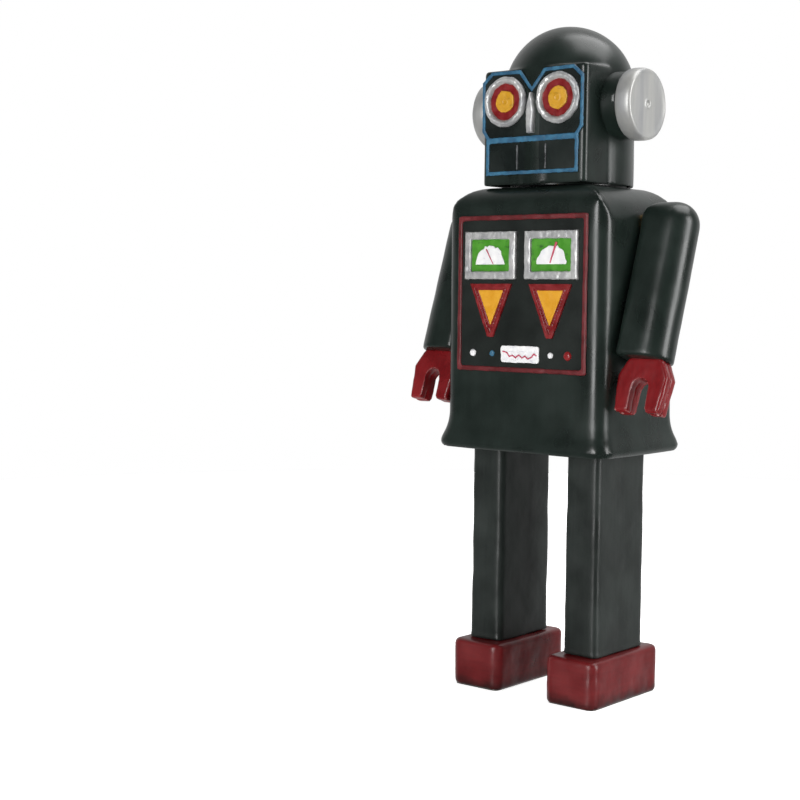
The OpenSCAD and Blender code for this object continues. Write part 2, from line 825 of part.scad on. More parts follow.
module crank_shaft() {
  disc_in = plate_x + plate_t + pass_gap;
  disc_t = 1.2;
  pin_end = lever_x - pass_gap;
  color("silver") {
    along_x(-disc_in - disc_t, 2 * (disc_in + disc_t)) translate([crank_y, crank_z]) circle(shaft_r);
    along_x(pinion_x, pinion_t) translate([crank_y, crank_z])
      gear_outline(pinion_teeth, crank_dir + 180 + 180 / pinion_teeth);
    for (s = [-1, 1]) {
      along_x(s > 0 ? disc_in : -disc_in - disc_t, disc_t) translate([crank_y, crank_z]) circle(crank_disc_r);
      along_x(s > 0 ? disc_in : -pin_end, pin_end - disc_in)
        translate([crank_y, crank_z + s * crank_throw]) circle(crank_pin_r);
    }
  }
}

module second_wheel() {
  color("gold") along_x(second_x, second_t) translate([crank_y, crank_z]) difference() {
    gear_outline(second_teeth, 90);
    circle(shaft_r);
  }
}

// Fast last shaft: pinion and two-vane air brake
module governor() {
  color("silver") translate([0, governor_y, governor_z]) {
    along_x(-plate_x - plate_t, motor_w + 2 * plate_t) circle(governor_r);
    along_x(governor_pinion_x, governor_pinion_t) gear_outline(pinion_teeth, 270 + 180 / pinion_teeth);
    along_x(vane_x, vane_w) rounded_rect(2 * vane_r, 1.2, 0.5);
  }
}

torso_front_shell();
torso_back_shell();
base_plate();
chest_panel();
gauge_bezel(LEFT);  // gauge_bezel_left
gauge_bezel(RIGHT);  // gauge_bezel_right
gauge_dials();
lamp_frame(LEFT);  // lamp_frame_left
lamp_frame(RIGHT);  // lamp_frame_right
lamp_lenses();
trace_screen();
indicator_white();
indicator_blue();
indicator_red();
neck_bush();
shoulder_bushes();
head_shell();
face_mask();
eye_ring(LEFT);  // eye_ring_left
eye_ring(RIGHT);  // eye_ring_right
eye_reflectors();
eye_lamps();
nose();
mouth_grille();
ear_bosses();
ear_cap(LEFT);  // ear_cap_left
ear_cap(RIGHT);  // ear_cap_right
neck_tube();
arm_shell(LEFT);  // arm_shell_left
arm_shell(RIGHT);  // arm_shell_right
arm_cover(LEFT);  // arm_cover_left
arm_cover(RIGHT);  // arm_cover_right
hand(LEFT);  // hand_left
hand(RIGHT);  // hand_right
shoulder_pin(LEFT);  // shoulder_pin_left
shoulder_pin(RIGHT);  // shoulder_pin_right
leg_shell(LEFT);  // leg_shell_left
leg_shell(RIGHT);  // leg_shell_right
leg_lever(LEFT);  // leg_lever_left
leg_lever(RIGHT);  // leg_lever_right
foot_shell(LEFT);  // foot_shell_left
foot_shell(RIGHT);  // foot_shell_right
sole_plate(LEFT);  // sole_plate_left
sole_plate(RIGHT);  // sole_plate_right
foot_roller(LEFT);  // foot_roller_left
foot_roller(RIGHT);  // foot_roller_right
motor_plate(LEFT);  // motor_plate_left
motor_plate(RIGHT);  // motor_plate_right
motor_pillars();
mainspring();
hip_axle();
winding_key();
key_arbor();
great_wheel();
click();
crank_shaft();
second_wheel();
governor();
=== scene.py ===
import math
import random

import bmesh
import bpy
from mathutils import Matrix, Vector


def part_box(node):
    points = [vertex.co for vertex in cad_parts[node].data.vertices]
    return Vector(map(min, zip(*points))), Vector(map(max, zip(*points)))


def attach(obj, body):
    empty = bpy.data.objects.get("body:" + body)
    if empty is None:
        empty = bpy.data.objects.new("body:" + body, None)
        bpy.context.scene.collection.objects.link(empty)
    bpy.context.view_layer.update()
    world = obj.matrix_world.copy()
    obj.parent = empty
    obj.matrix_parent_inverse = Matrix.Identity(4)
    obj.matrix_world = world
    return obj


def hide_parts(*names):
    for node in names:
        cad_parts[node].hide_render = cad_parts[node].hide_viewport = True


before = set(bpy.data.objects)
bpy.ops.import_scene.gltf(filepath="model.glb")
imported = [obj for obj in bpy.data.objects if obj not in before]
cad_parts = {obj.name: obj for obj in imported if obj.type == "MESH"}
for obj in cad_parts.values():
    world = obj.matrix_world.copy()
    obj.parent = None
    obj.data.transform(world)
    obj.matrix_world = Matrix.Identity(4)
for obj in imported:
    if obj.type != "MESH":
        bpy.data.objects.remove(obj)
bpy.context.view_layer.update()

mm = 0.001
sides = {"left": 1, "right": -1}        # the robot's own left is +X
random.seed(11)


# tools for objects and for edit mode

def selectNothing():
    if bpy.context.object and bpy.context.object.mode != "OBJECT":
        bpy.ops.object.mode_set(mode="OBJECT")
    bpy.ops.object.select_all(action="DESELECT")


# one or more pieces selected, the first of them active, in object mode
def useOnly(*pieces):
    selectNothing()
    for piece in pieces:
        piece.select_set(True)
    bpy.context.view_layer.objects.active = pieces[0]


def freeze(piece):
    useOnly(piece)
    bpy.ops.object.transform_apply(location=True, rotation=True, scale=True)
    return piece


def edit(piece, kind="FACE"):
    useOnly(piece)
    bpy.ops.object.mode_set(mode="EDIT")
    bpy.ops.mesh.select_mode(type=kind)
    bpy.ops.mesh.select_all(action="DESELECT")


# selects the vertices, edges or faces that pass the test, in edit mode
def pick(piece, kind, test):
    bpy.ops.mesh.select_mode(type={"verts": "VERT", "edges": "EDGE", "faces": "FACE"}[kind])
    bpy.ops.mesh.select_all(action="DESELECT")
    mesh = bmesh.from_edit_mesh(piece.data)
    for part in getattr(mesh, kind):
        if test(part):
            part.select_set(True)
    mesh.select_flush_mode()
    bmesh.update_edit_mesh(piece.data)


# true for an edge that runs along one axis
def along(edge, axis):
    run = (edge.verts[0].co - edge.verts[1].co).normalized()
    return abs(run[axis]) > 0.99


def middle(part):
    return sum((v.co for v in part.verts), Vector()) / len(part.verts)


def modify(piece, kind, **settings):
    useOnly(piece)
    modifier = piece.modifiers.new(kind.title(), kind)
    for key, value in settings.items():
        setattr(modifier, key, value)
    bpy.ops.object.modifier_apply(modifier=modifier.name)
    return piece


# takes one closed piece out of another
def cut(piece, tool):
    modify(piece, "BOOLEAN", object=tool, operation="DIFFERENCE", solver="MANIFOLD")
    bpy.data.objects.remove(tool)
    return piece


def join(*pieces):
    useOnly(*pieces)
    bpy.ops.object.join()
    return pieces[0]


# a copy with its own mesh
def copyOf(piece):
    twin = piece.copy()
    twin.data = piece.data.copy()
    bpy.context.collection.objects.link(twin)
    return twin


def outward(piece):
    edit(piece)
    bpy.ops.mesh.select_all(action="SELECT")
    bpy.ops.mesh.remove_doubles(threshold=1e-6)
    bpy.ops.mesh.normals_make_consistent(inside=False)
    useOnly(piece)


# a box between two corners
def block(low, high):
    low, high = Vector(low), Vector(high)
    selectNothing()
    bpy.ops.mesh.primitive_cube_add(size=1, location=(low + high) / 2, scale=high - low)
    return freeze(bpy.context.object)


def roundEdges(piece, width, test, steps=8):
    edit(piece, "EDGE")
    pick(piece, "edges", test)
    bpy.ops.mesh.bevel(offset=width, segments=steps, affect="EDGES", clamp_overlap=False)
    useOnly(piece)
    return piece


# a cylinder from low to high along an axis, through the other two coordinates of place
def rod(radius, low, high, place, axis="Z", sides=64):
    number = "XYZ".index(axis)
    centre = Vector(place)
    centre[number] = (low + high) / 2
    turn = {"X": (0, math.pi / 2, 0), "Y": (math.pi / 2, 0, 0), "Z": (0, 0, 0)}[axis]
    selectNothing()
    bpy.ops.mesh.primitive_cone_add(
        vertices=sides, radius1=radius, radius2=radius, depth=high - low, location=centre, rotation=turn)
    return freeze(bpy.context.object)


# a chain of vertices drawn from point to point, filled when closed
def trace(points, close=True):
    selectNothing()
    bpy.ops.mesh.primitive_plane_add(size=mm)
    piece = bpy.context.object
    edit(piece, "VERT")
    bpy.ops.mesh.select_all(action="SELECT")
    bpy.ops.mesh.merge(type="CENTER")
    here = Vector(points[0])
    bpy.ops.transform.translate(value=here)
    for point in points[1:]:
        step = Vector(point) - here
        bpy.ops.mesh.extrude_region_move(TRANSFORM_OT_translate={"value": step})
        here = Vector(point)
    bpy.ops.mesh.select_all(action="SELECT")
    if close:
        bpy.ops.mesh.edge_face_add()
    useOnly(piece)
    return piece


# the filled outline is extruded into a solid
def thicken(piece, way):
    edit(piece)
    bpy.ops.mesh.select_all(action="SELECT")
    bpy.ops.mesh.extrude_region_move(TRANSFORM_OT_translate={"value": way})
    bpy.ops.mesh.select_all(action="SELECT")
    bpy.ops.mesh.normals_make_consistent(inside=False)
    useOnly(piece)
    return piece


# (distance along the axis, radius) points spun round the axis
def lathe(profile, centre, axis, steps=96):
    number = "XYZ".index(axis)
    across = (number + 1) % 3
    points = []
    for distance, radius in profile:
        point = Vector(centre)
        point[number] = distance
        point[across] += radius
        points.append(point)
    piece = trace(points, close=False)
    edit(piece, "VERT")
    bpy.ops.mesh.select_all(action="SELECT")
    way = Vector()
    way[number] = 1
    bpy.ops.mesh.spin(steps=steps, angle=2 * math.pi, center=centre, axis=way)
    bpy.ops.mesh.select_all(action="SELECT")
    bpy.ops.mesh.remove_doubles(threshold=1e-6)
    bpy.ops.mesh.normals_make_consistent(inside=False)
    useOnly(piece)
    return piece


# an even fine mesh, its sharp edges eased by a few smoothing passes
def soften(piece, grain, passes):
    modify(piece, "REMESH", mode="VOXEL", voxel_size=grain, adaptivity=0)
    if passes:
        modify(piece, "SMOOTH", factor=0.5, iterations=passes)
    return piece


# hand-made unevenness: waves of a size and a depth
def wobble(piece, size, depth):
    texture = bpy.data.textures.new("waves", "CLOUDS")
    texture.noise_scale = size
    texture.noise_depth = 1
    modify(piece, "DISPLACE", texture=texture, strength=2 * depth, mid_level=0.5,
           texture_coords="LOCAL", direction="NORMAL")
    return piece


# takes away the underside
def openBelow(piece, height):
    edit(piece)
    pick(piece, "faces", lambda f: f.normal.z < -0.8 and middle(f).z < height)
    bpy.ops.mesh.delete(type="FACE")
    useOnly(piece)


# look is a finish of its own within the record's slot
def finish(piece, name, body, slot, replaced=(), angle=40, look=None):
    freeze(piece)
    bpy.ops.object.shade_smooth_by_angle(angle=math.radians(angle))
    piece.name = name
    piece.data.name = name
    piece.data.materials.clear()
    piece.data.materials.append(finishes[look or slot])
    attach(piece, body)
    if replaced:
        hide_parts(*replaced)
    return piece


# tools for materials

# sRGB hex to a linear colour
def linear(code):
    parts = [int(code[i:i + 2], 16) / 255 for i in (0, 2, 4)]
    return tuple(p / 12.92 if p <= 0.04045 else ((p + 0.055) / 1.055) ** 2.4 for p in parts) + (1,)


def addNode(tree, kind, values=None, links=None, **settings):
    node = tree.nodes.new(kind)
    for key, value in settings.items():
        setattr(node, key, value)
    for key, value in (values or {}).items():
        node.inputs[key].default_value = value
    for key, source in (links or {}).items():
        tree.links.new(source, node.inputs[key])
    return node


# noise scale that gives features of a size in millimetres
def perMetre(size):
    return 1 / (size * mm)


# a principled shader with its own place on the object
def startMaterial(name, **values):
    material = bpy.data.materials.new(name)
    material.use_nodes = True
    tree = material.node_tree
    tree.nodes.clear()
    values = {key.replace("_", " "): value for key, value in values.items()}
    shader = addNode(tree, "ShaderNodeBsdfPrincipled", values=values)
    addNode(tree, "ShaderNodeOutputMaterial", links={"Surface": shader.outputs["BSDF"]})
    place = addNode(tree, "ShaderNodeTexCoord").outputs["Object"]
    return material, tree, shader, place


# noise with features of a size in mm, drawn out along an axis by stretch
def noise(tree, place, size, stretch=None, detail=3, roughness=0.5):
    if stretch:
        place = addNode(tree, "ShaderNodeMapping", values={"Scale": stretch},
                        links={"Vector": place}).outputs[0]
    return addNode(tree, "ShaderNodeTexNoise", links={"Vector": place},
                   values={"Scale": perMetre(size), "Detail": detail, "Roughness": roughness}).outputs["Fac"]


def between(tree, value, low, high, out=(0, 1)):
    return addNode(tree, "ShaderNodeMapRange", links={"Value": value},
                   values={"From Min": low, "From Max": high, "To Min": out[0], "To Max": out[1]}).outputs[0]


# two colours mixed, each a hex code or a socket
def blendColour(tree, amount, first, second):
    node = addNode(tree, "ShaderNodeMix", data_type="RGBA", links={0: amount})
    for number, colour in ((6, first), (7, second)):
        if isinstance(colour, str):
            node.inputs[number].default_value = linear(colour)
        else:
            tree.links.new(colour, node.inputs[number])
    return node.outputs[2]


def calculate(tree, operation, first, second):
    node = addNode(tree, "ShaderNodeMath", operation=operation)
    for number, value in enumerate((first, second)):
        if isinstance(value, (int, float)):
            node.inputs[number].default_value = value
        else:
            tree.links.new(value, node.inputs[number])
    return node.outputs[0]


# layers of (height, depth in mm), one on another
def bump(tree, shader, *layers):
    normal = None
    for height, depth in layers:
        node = addNode(tree, "ShaderNodeBump", links={"Height": height},
                       values={"Distance": depth * mm, "Strength": 1})
        if normal:
            tree.links.new(normal, node.inputs["Normal"])
        normal = node.outputs[0]
    tree.links.new(normal, shader.inputs["Normal"])


# Alkyd enamel laid on by brush: a glossy coat with brush marks, slow waves and duller patches.
# colours are the deep and the thin coat; wear is a colour that shows where edges are rubbed
def enamel(name, colours, gloss=(0.24, 0.37), brush=(1, 1, 0.05), wave=0.07, wear=None):
    material, tree, shader, place = startMaterial(name, IOR=1.5, Specular_IOR_Level=0.5)
    patches = noise(tree, place, 16, detail=2)
    strokes = noise(tree, place, 1.1, stretch=brush, detail=4)
    peel = noise(tree, place, 1.4, detail=2)
    waves = noise(tree, place, 13, detail=0)
    laidOn = calculate(tree, "ADD", patches, calculate(tree, "MULTIPLY", strokes, 0.4))
    tone = between(tree, laidOn, 0.45, 0.95)
    colour = blendColour(tree, tone, colours[0], colours[1])
    if wear:
        ridge = addNode(tree, "ShaderNodeNewGeometry").outputs["Pointiness"]
        broken = calculate(tree, "MULTIPLY", between(tree, ridge, 0.53, 0.6),
                           between(tree, noise(tree, place, 2.4), 0.42, 0.6))
        colour = blendColour(tree, broken, colour, wear)
    tree.links.new(colour, shader.inputs["Base Color"])
    tree.links.new(between(tree, patches, 0.3, 0.75, gloss), shader.inputs["Roughness"])
    bump(tree, shader, (waves, wave), (strokes, 0.012), (peel, 0.012))
    return material


# Aluminium paint over cast trim: bright metal flakes, duller where it is rubbed, with small dents
def silverPaint(name, colours=("cfcfcd", "97989a"), rough=(0.34, 0.5), grain=(1, 1, 1), dents=0.08):
    material, tree, shader, place = startMaterial(name, Metallic=0.6)
    rubbed = noise(tree, place, 5, stretch=grain, detail=5)
    lines = noise(tree, place, 0.5, stretch=grain, detail=3)
    tree.links.new(blendColour(tree, between(tree, rubbed, 0.35, 0.7), *colours), shader.inputs["Base Color"])
    tree.links.new(between(tree, rubbed, 0.3, 0.7, rough), shader.inputs["Roughness"])
    bump(tree, shader, (noise(tree, place, 2.2, detail=1), dents), (lines, 0.012))
    return material


# Rolled or turned metal with fine tool lines and a little tarnish
def brushMetal(name, colours, rough=0.3, spacing=0.25):
    material, tree, shader, place = startMaterial(name, Metallic=1.0)
    tarnish = noise(tree, place, 4, detail=4)
    lines = noise(tree, place, spacing, stretch=(1, 1, 0.08), detail=2)
    tone = between(tree, tarnish, 0.4, 0.75)
    tree.links.new(blendColour(tree, tone, *colours), shader.inputs["Base Color"])
    tree.links.new(between(tree, lines, 0.3, 0.7, (rough - 0.06, rough + 0.1)), shader.inputs["Roughness"])
    bump(tree, shader, (lines, 0.006))
    return material


# A small patch of thick enamel dabbed on by hand, its tone and gloss uneven
def artistPaint(name, colours, rough=0.4, speck=None, lump=0.03):
    material, tree, shader, place = startMaterial(name, IOR=1.5)
    tone = noise(tree, place, 3, detail=4)
    colour = blendColour(tree, between(tree, tone, 0.38, 0.68), *colours)
    if speck:
        dabs = noise(tree, place, 2.1, stretch=(0.6, 1, 1.6), detail=3)
        colour = blendColour(tree, between(tree, dabs, 0.6, 0.72), colour, speck)
    tree.links.new(colour, shader.inputs["Base Color"])
    tree.links.new(between(tree, tone, 0.3, 0.7, (rough - 0.08, rough + 0.1)), shader.inputs["Roughness"])
    bump(tree, shader, (noise(tree, place, 1.5, detail=2), lump))
    return material


# Moulded rubber tyre: nearly black, matt, with a fine grain
def rubber(name):
    material, tree, shader, place = startMaterial(name, IOR=1.52)
    grain = noise(tree, place, 0.4, detail=3)
    tree.links.new(blendColour(tree, grain, "151515", "2a2927"), shader.inputs["Base Color"])
    tree.links.new(between(tree, grain, 0.3, 0.7, (0.65, 0.85)), shader.inputs["Roughness"])
    bump(tree, shader, (grain, 0.03))
    return material


# Cherry enamel like the hands', darkening to a brown black towards the bottom
def redFootEnamel(name):
    material = enamel(name, ("480a0d", "6c1417"), gloss=(0.26, 0.44), brush=(0.15, 0.15, 1), wave=0.06)
    tree = material.node_tree
    shader = next(n for n in tree.nodes if n.type == "BSDF_PRINCIPLED")
    place = next(n for n in tree.nodes if n.type == "TEX_COORD").outputs["Object"]
    height = addNode(tree, "ShaderNodeSeparateXYZ", links={0: place}).outputs["Z"]
    # darker towards the bottom: the lowest few millimetres of the foot turn brown black along a ragged edge
    ragged = calculate(tree, "ADD", height, calculate(tree, "MULTIPLY", noise(tree, place, 5), 7 * mm))
    darkerLow = between(tree, ragged, 8 * mm, 3.4 * mm)
    colour = shader.inputs["Base Color"].links[0].from_socket
    tree.links.new(blendColour(tree, darkerLow, colour, "2a0e0d"), shader.inputs["Base Color"])
    return material


finishes = {
    "green_enamel": enamel("brushedBlackGreenEnamel", ("0f1613", "1a2420")),
    "leg_enamel": enamel("mattBlackGreenEnamel", ("141917", "232a27"), gloss=(0.36, 0.5), wave=0.14),
    "panel_enamel": enamel("panelEnamel", ("0a0f0d", "121a16"), gloss=(0.32, 0.46),
                           brush=(1, 1, 1), wave=0.1),
    "mask_enamel": enamel("maskEnamel", ("0e1413", "1a211f"), gloss=(0.24, 0.4), brush=(1, 1, 0.4)),
    "red_enamel": enamel("cherryEnamel", ("5c0b0f", "7c161a"), gloss=(0.24, 0.4), brush=(1, 1, 0.2),
                         wave=0.06, wear="b98a86"),
    "frame_red": artistPaint("lampFrameEnamel", ("640e11", "7a1519"), rough=0.34),
    "signal_red": artistPaint("signalRedEnamel", ("761014", "86161a"), rough=0.34),
    "grille_black": artistPaint("grilleEnamel", ("070606", "100f10"), rough=0.58),
    "silver_finish": silverPaint("aluminiumPaint"),
    "reflector_red": artistPaint("reflectorEnamel", ("680c0f", "781315"), rough=0.36),
    "lamp_yellow": artistPaint("lampYellowEnamel", ("b07f10", "be8d1c"), rough=0.42, speck="8c6a14"),
    "lens_amber": artistPaint("amberEnamel", ("bd830a", "c78f14"), rough=0.42),
    "dial_green": artistPaint("dialGreenEnamel", ("357a13", "42871a"), rough=0.42, speck="1a4c12"),
    "white_enamel": artistPaint("whiteEnamel", ("cbcbcd", "d9d8d7"), rough=0.42, speck="b4b4bd"),
    "blue_enamel": artistPaint("blueLineEnamel", ("204c68", "2a6380"), rough=0.45),
    "plain_steel": brushMetal("groundSteel", ("9a9a98", "7d7c79")),
    "spring_steel": brushMetal("bluedSpringSteel", ("55585f", "3c3f47"), rough=0.28),
    "tinplate": brushMetal("tinplate", ("a8a7a2", "8b8983"), rough=0.34),
    "brass": brushMetal("rolledBrass", ("c9a050", "a67c34"), rough=0.28),
    "roller_rubber": rubber("mouldedRubber"),
}
finishes["foot_enamel"] = redFootEnamel("cherryEnamelDarkerLow")
finishes["silver_disc"] = silverPaint("brushedAluminiumPaint", colours=("b6b6b3", "97989a"),
                                      rough=(0.42, 0.56), grain=(1, 1, 0.12), dents=0.03)
finishes["line_red"] = artistPaint("panelLineEnamel", ("4e0c10", "64131a"), rough=0.44)
finishes["rubbed_bar"] = silverPaint("rubbedBarPaint", colours=("1a1b1d", "77797b"),
                                     rough=(0.35, 0.55), dents=0.05)
finishes["needle_pink"] = artistPaint("needleEnamel", ("a02a45", "c05068"), rough=0.45)
print("finishes ready")


# torso: two pressed shells with round shoulders and a flared hem

torso = {
    "corner": 5.5, "shoulder": 14, "brow": 9, "wall": 0.8, "grain": 0.8, "crown": 0.025,
    # height above the lower edge, how far the side stands out there
    "hem": ((12.5, 0), (9.5, 0.35), (6.6, 1.1), (4.4, 2.0), (2.4, 2.6), (1.1, 2.3), (0, 1.3)),
}
frontLow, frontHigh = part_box("torso_front_shell")
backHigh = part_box("torso_back_shell")[1]
hemOut = torso["hem"][4][1] * mm
torsoLow = Vector((frontLow.x + hemOut, frontLow.y + hemOut, frontLow.z))
torsoHigh = Vector((backHigh.x - hemOut, backHigh.y - hemOut, backHigh.z))


# takes a long outer corner of a piece down to a radius; ways point out from the centre of the arc
def roundOff(piece, axis, centre, radius, ways):
    reach = radius + 6 * mm
    span = 80 * mm
    low, high = Vector(centre), Vector(centre)
    for number, way in enumerate(ways):
        if way:
            low[number] = centre[number] + min(0, way * reach)
            high[number] = centre[number] + max(0, way * reach)
        else:
            low[number], high[number] = centre[number] - span, centre[number] + span
    corner = block(low, high)
    number = "XYZ".index(axis)
    arc = rod(radius, centre[number] - 2 * span, centre[number] + 2 * span, centre, axis, sides=96)
    cut(corner, arc)
    return cut(piece, corner)


# a block with round upright corners, its hem spread ring by ring, then shoulders, chest and back turned in
def torsoBlank():
    body = block(torsoLow, torsoHigh)
    roundEdges(body, torso["corner"] * mm, lambda e: along(e, 2))
    halfWidth, halfDepth = torsoHigh.x, torsoHigh.y
    for height, out in torso["hem"][:-1]:
        edit(body)
        bpy.ops.mesh.select_all(action="SELECT")
        level = torsoLow.z + height * mm
        bpy.ops.mesh.bisect(plane_co=(0, 0, level), plane_no=(0, 0, 1))
    for height, out in torso["hem"]:
        level = torsoLow.z + height * mm
        edit(body, "VERT")
        pick(body, "verts", lambda v: abs(v.co.z - level) < 0.01 * mm)
        spread = (1 + out * mm / halfWidth, 1 + out * mm / halfDepth, 1)
        bpy.ops.transform.resize(value=spread, center_override=(0, 0, level))
    radius = torso["shoulder"] * mm
    for way in (-1, 1):
        roundOff(body, "Y", (way * (halfWidth - radius), 0, torsoHigh.z - radius), radius, (way, 0, 1))
    radius = torso["brow"] * mm
    for way in (-1, 1):
        roundOff(body, "X", (0, way * (halfDepth - radius), torsoHigh.z - radius), radius, (0, way, 1))
    return body


def makeTorso():
    body = torsoBlank()
    soften(body, torso["grain"] * mm, 8)
    modify(body, "CAST", cast_type="CYLINDER", factor=torso["crown"], size=torsoHigh.x,
           use_radius_as_size=False, use_z=False)
    wobble(body, 22 * mm, 0.22 * mm)
    openBelow(body, torsoLow.z + 1 * mm)
    modify(body, "SOLIDIFY", thickness=torso["wall"] * mm, offset=-1)
    neckLow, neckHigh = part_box("neck_bush")
    neckMiddle = (neckLow + neckHigh) / 2
    cut(body, rod(9.05 * mm, torsoHigh.z - 4 * mm, torsoHigh.z + 4 * mm, neckMiddle))
    bushLow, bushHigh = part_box("shoulder_bushes")
    bushMiddle = (bushLow + bushHigh) / 2
    cut(body, rod(3.5 * mm, -50 * mm, 50 * mm, bushMiddle, "X"))
    arborLow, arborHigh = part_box("key_arbor")
    arborMiddle = (arborLow + arborHigh) / 2
    cut(body, rod(2.2 * mm, -50 * mm, -25 * mm, arborMiddle, "X"))
    reach = 60 * mm
    front = copyOf(body)
    cut(front, block((-reach, 0, 0), (reach, reach, 4 * reach)))
    cut(body, block((-reach, -reach, 0), (reach, 0, 4 * reach)))
    finish(front, "torsoFront", "torso", "green_enamel", ["torso_front_shell"])
    finish(body, "torsoBack", "torso", "green_enamel", ["torso_back_shell"])


makeTorso()
print("torso ready")


# head: a domed cylinder with a square face block, in one pressing

head = {"grain": 0.62, "wall": 0.8, "blockEdge": 1.8, "blockTop": 40.9}
headLow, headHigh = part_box("head_shell")


def makeHead():
    radius = headHigh.x
    axisY = headHigh.y - radius
    domeZ = headHigh.z - radius
    shell = rod(radius, headLow.z, domeZ, (0, axisY, 0), "Z", sides=128)
    bpy.ops.mesh.primitive_uv_sphere_add(segments=128, ring_count=64, radius=radius,
                                         location=(0, axisY, domeZ))
    dome = freeze(bpy.context.object)
    half = 22 * mm
    top = headLow.z + head["blockTop"] * mm
    face = block((-half, headLow.y, headLow.z), (half, axisY, top))
    roundEdges(face, head["blockEdge"] * mm, lambda e: middle(e).y < headLow.y + 1 * mm and along(e, 2), 4)
    roundEdges(face, head["blockEdge"] * mm * 0.6, lambda e: middle(e).z > top - 0.1 * mm
               and middle(e).y < axisY - 1 * mm, 4)
    shell = join(shell, dome, face)
    soften(shell, head["grain"] * mm, 5)
    wobble(shell, 16 * mm, 0.14 * mm)
    openBelow(shell, headLow.z + 1 * mm)
    modify(shell, "SOLIDIFY", thickness=head["wall"] * mm, offset=-1)
    finish(shell, "headShell", "head", "green_enamel", ["head_shell"])


makeHead()
print("head ready")


# ears: dark bosses and bright caps

def makeEars():
    bossLow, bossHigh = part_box("ear_bosses")
    centre = Vector((0, (bossLow.y + bossHigh.y) / 2, (bossLow.z + bossHigh.z) / 2))
    face = bossHigh.x
    bosses = []
    for way in (1, -1):
        profile = [(20.5, 0), (20.5, 12.0), (22.5, 11.9), (24, 11.75), (26, 11.7), (27.2, 11.6),
                   (27.5, 11.3), (27.5, 0)]
        bosses.append(lathe([(way * x * mm, r * mm) for x, r in profile], centre, "X"))
    boss = join(*bosses)
    wobble(boss, 6 * mm, 0.12 * mm)
    finish(boss, "earBosses", "head", "green_enamel", ["ear_bosses"])
    for side, way in sides.items():
        capProfile = [
            (0, 0), (0, 11.6), (0.25, 12.2), (1.0, 12.5), (3.3, 12.65), (5.3, 12.5), (6.1, 12.15),
            (6.45, 11.6), (6.4, 11.0), (6.2, 10.4), (6.14, 9), (6.18, 6), (6.2, 2.6), (6.2, 2.0),
            (6.48, 1.7), (6.5, 1.3), (6.25, 1.0), (5.85, 0.6), (5.8, 0)]
        cap = lathe([(way * (face + x * mm), r * mm) for x, r in capProfile], centre, "X")
        modify(cap, "SUBSURF", levels=1, render_levels=1)
        wobble(cap, 7 * mm, 0.13 * mm)
        finish(cap, "earCap" + side.title(), "head", "silver_finish", ["ear_cap_" + side],
               look="silver_disc")


makeEars()
print("ears ready")


# painted shapes: flat outlines given as (across, up) in the robot's front plane

def outline(points, front):
    return trace([(x, front, z) for x, z in points])


# a filled outline from its back face to its front, which is the smaller Y
def plate(points, back, front):
    return thicken(outline(points, back), (0, front - back, 0))


# a frame of even width inside an outline
def ring(points, width, back, front):
    piece = outline(points, back)
    edit(piece)
    bpy.ops.mesh.select_all(action="SELECT")
    bpy.ops.mesh.inset(thickness=width)
    bpy.ops.mesh.delete(type="FACE")
    return thicken(piece, (0, front - back, 0))


def rectangle(centre, width, height):
    x, z = centre
    return [(x - width / 2, z - height / 2), (x + width / 2, z - height / 2),
            (x + width / 2, z + height / 2), (x - width / 2, z + height / 2)]


# the outline of a brush dab: a ragged oval, or its upper half when arc is 180
def dab(centre, width, height, ragged, count=28, arc=360):
    points = []
    for number in range(count):
        turn = math.radians(arc * number / (count if arc == 360 else count - 1))
        reach = 1 + random.uniform(-ragged, ragged)
        points.append((centre[0] + width / 2 * math.cos(turn) * reach,
                       centre[1] + height * (0.5 if arc == 360 else 1) * math.sin(turn) * reach))
    return points


# face

face = {
    # half the mask's outline above its lower edge: across, up
    "brow": ((0, 30.3), (5.0, 36.4), (17.5, 36.6), (21.6, 33.0), (21.5, 15.6), (18.9, 12.0)),
    "mouth": (19.6, 12.6), "line": 1.3, "slats": 10, "eyeAcross": 11.2,
}
maskLow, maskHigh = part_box("face_mask")


def maskOutline():
    half = [(x * mm, maskLow.z + z * mm) for x, z in face["brow"]]
    return half + [(-x, z) for x, z in reversed(half[1:])]


def makeMask():
    mouthHalf, mouthHigh = (value * mm for value in face["mouth"])
    mouth = rectangle((0, maskLow.z + mouthHigh / 2), 2 * mouthHalf, mouthHigh)
    front, back = maskLow.y, maskHigh.y
    dark = join(plate(maskOutline(), back, front), plate(mouth, back + 0.1 * mm, front + 0.02 * mm))
    finish(dark, "faceMask", "head", "mask_enamel", ["face_mask"])
    width = face["line"] * mm
    line = join(ring(maskOutline(), width, front + 0.3 * mm, front - 0.35 * mm),
                ring(mouth, width, front + 0.3 * mm, front - 0.3 * mm))
    soften(line, 0.2 * mm, 4)
    wobble(line, 2.5 * mm, 0.12 * mm)
    wobble(line, 1.2 * mm, 0.06 * mm)
    finish(line, "faceLine", "head", "blue_enamel")


